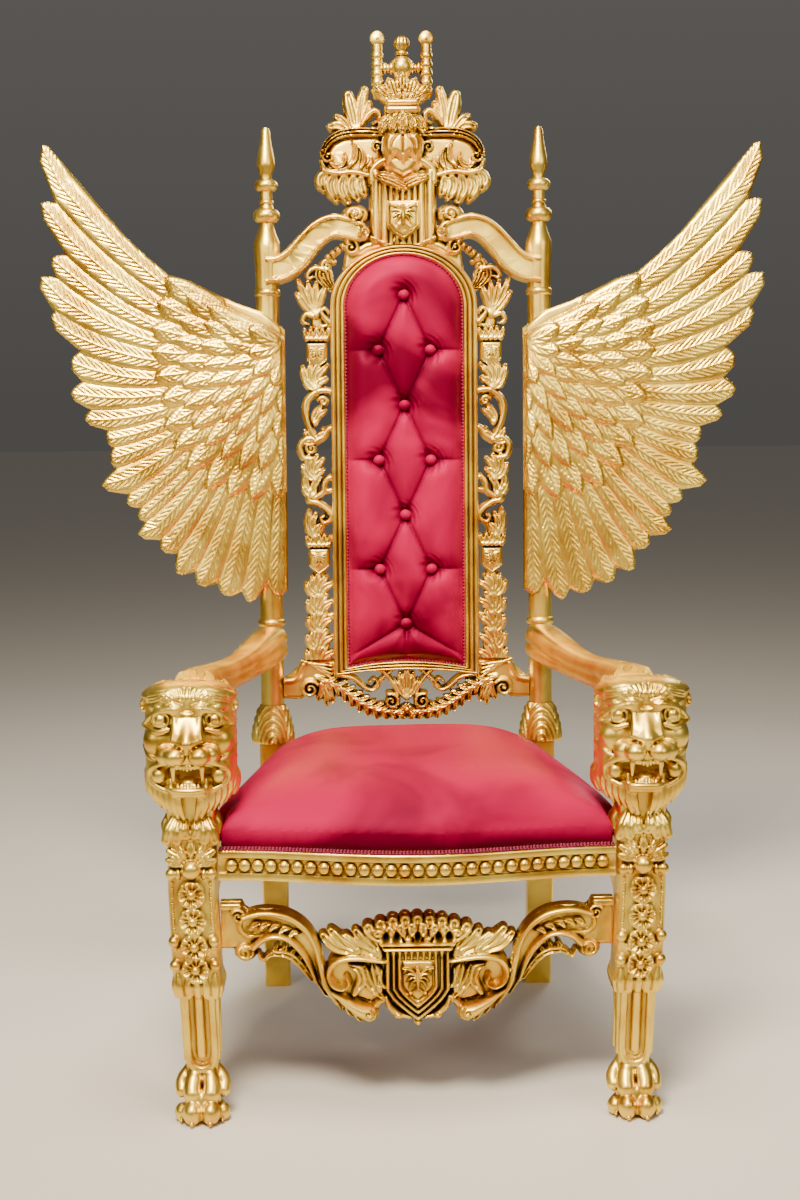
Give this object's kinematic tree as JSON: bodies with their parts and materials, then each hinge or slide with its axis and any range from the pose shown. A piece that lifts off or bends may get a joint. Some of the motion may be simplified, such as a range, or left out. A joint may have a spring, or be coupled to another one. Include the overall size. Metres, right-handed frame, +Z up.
{
  "type": "throne chair",
  "caption": "Tall gilded carved throne with lion-headed front legs, paw feet, feathered wings beside a buttoned red velvet back, a crowned crest and a domed red seat.",
  "frame": {"origin": "centre of the overall box on the floor, under the feet", "axes": "+Z up, the chair faces -Y, +X to the viewer's right"},
  "size_m": [1.3296, 0.7886, 1.7928],
  "materials": {
    "gilding": "satin",
    "velvet": "matte",
    "braid": "matte"
  },
  "bodies": {
    "root": {"lion_leg_left": "gilding", "lion_leg_right": "gilding", "back_post_left": "gilding", "back_post_right": "gilding", "armrest_left": "gilding", "armrest_right": "gilding", "side_rail_left": "gilding", "side_rail_right": "gilding", "wing_left": "gilding", "wing_right": "gilding", "fretwork_left": "gilding", "fretwork_right": "gilding", "front_rail": "gilding", "back_rail": "gilding", "front_stretcher": "gilding", "crest_rail": "gilding", "panel_frame": "gilding", "lower_rail": "gilding", "seat_cushion": "velvet", "back_pad": "velvet", "tuft_button_1": "velvet", "tuft_button_2": "velvet", "tuft_button_3": "velvet", "tuft_button_4": "velvet", "tuft_button_5": "velvet", "tuft_button_6": "velvet", "tuft_button_7": "velvet", "tuft_button_8": "velvet", "tuft_button_9": "velvet", "tuft_button_10": "velvet", "seat_braid": "braid", "back_braid": "braid"}
  },
  "joints": []
}
